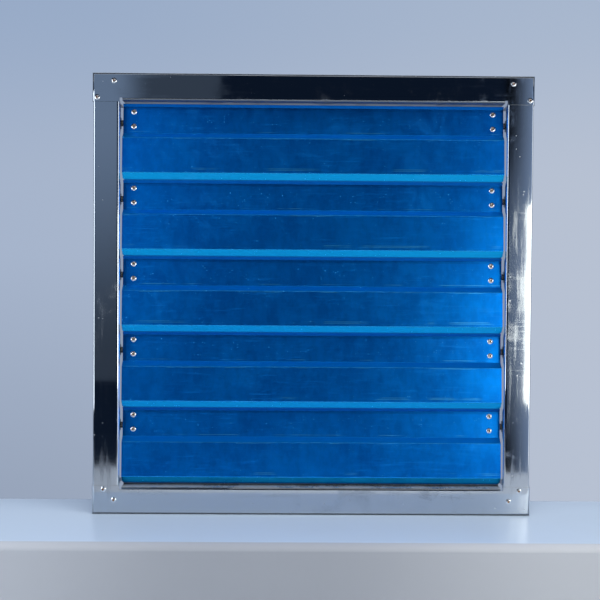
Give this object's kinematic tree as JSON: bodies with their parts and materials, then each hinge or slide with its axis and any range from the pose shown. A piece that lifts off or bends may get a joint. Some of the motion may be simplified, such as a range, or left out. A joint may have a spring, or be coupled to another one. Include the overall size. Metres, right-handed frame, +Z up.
{
  "type": "exhaust fan shutter",
  "caption": "Square gravity shutter for an exhaust fan: a folded polished stainless frame with blue coated louvre blades that swing open on side pivots and fall shut.",
  "frame": {"origin": "middle of the frame's underside, halfway through its depth", "axes": "+X right as seen from the front, +Y to the rear, +Z up; the front faces -Y"},
  "size_m": [0.5, 0.0511, 0.5],
  "materials": {
    "stainless": "mirror-polished stainless sheet, slightly wavy, with a few smudges",
    "blue_coat": "satin-gloss blue colour coating with fine specks, light dust and pale bend lines",
    "rivet": "bare domed aluminium with a dull mandrel centre",
    "bracket_steel": "zinc-plated sheet, satin",
    "pin_steel": "dull steel",
    "bush": "dark grey-brown moulded plastic, matt"
  },
  "bodies": {
    "frame": {"top_rail": "stainless", "bottom_rail": "stainless", "left_rail": "stainless", "right_rail": "stainless", "bottom_stop": "stainless", "corner_rivets": "rivet", "left_bush_1": "bush", "right_bush_1": "bush", "left_bush_2": "bush", "right_bush_2": "bush", "left_bush_3": "bush", "right_bush_3": "bush", "left_bush_4": "bush", "right_bush_4": "bush", "left_bush_5": "bush", "right_bush_5": "bush"},
    "blade_1": {"blade_1": "blue_coat", "left_bracket_1": "bracket_steel", "right_bracket_1": "bracket_steel", "left_pin_1": "pin_steel", "right_pin_1": "pin_steel", "blade_rivets_1": "rivet"},
    "blade_2": {"blade_2": "blue_coat", "left_bracket_2": "bracket_steel", "right_bracket_2": "bracket_steel", "left_pin_2": "pin_steel", "right_pin_2": "pin_steel", "blade_rivets_2": "rivet"},
    "blade_3": {"blade_3": "blue_coat", "left_bracket_3": "bracket_steel", "right_bracket_3": "bracket_steel", "left_pin_3": "pin_steel", "right_pin_3": "pin_steel", "blade_rivets_3": "rivet"},
    "blade_4": {"blade_4": "blue_coat", "left_bracket_4": "bracket_steel", "right_bracket_4": "bracket_steel", "left_pin_4": "pin_steel", "right_pin_4": "pin_steel", "blade_rivets_4": "rivet"},
    "blade_5": {"blade_5": "blue_coat", "left_bracket_5": "bracket_steel", "right_bracket_5": "bracket_steel", "left_pin_5": "pin_steel", "right_pin_5": "pin_steel", "blade_rivets_5": "rivet"}
  },
  "joints": [
    {"name": "blade_1_swing", "type": "hinge", "parent": "frame", "child": "blade_1", "pos_m": [0, -0.005, 0.44589], "axis": [-1, 0, 0], "range_deg": [0, 78]},
    {"name": "blade_2_swing", "type": "hinge", "parent": "frame", "child": "blade_2", "pos_m": [0, -0.005, 0.35919], "axis": [-1, 0, 0], "range_deg": [0, 78]},
    {"name": "blade_3_swing", "type": "hinge", "parent": "frame", "child": "blade_3", "pos_m": [0, -0.005, 0.27249], "axis": [-1, 0, 0], "range_deg": [0, 78]},
    {"name": "blade_4_swing", "type": "hinge", "parent": "frame", "child": "blade_4", "pos_m": [0, -0.005, 0.1858], "axis": [-1, 0, 0], "range_deg": [0, 78]},
    {"name": "blade_5_swing", "type": "hinge", "parent": "frame", "child": "blade_5", "pos_m": [0, -0.005, 0.0991], "axis": [-1, 0, 0], "range_deg": [0, 78]}
  ]
}
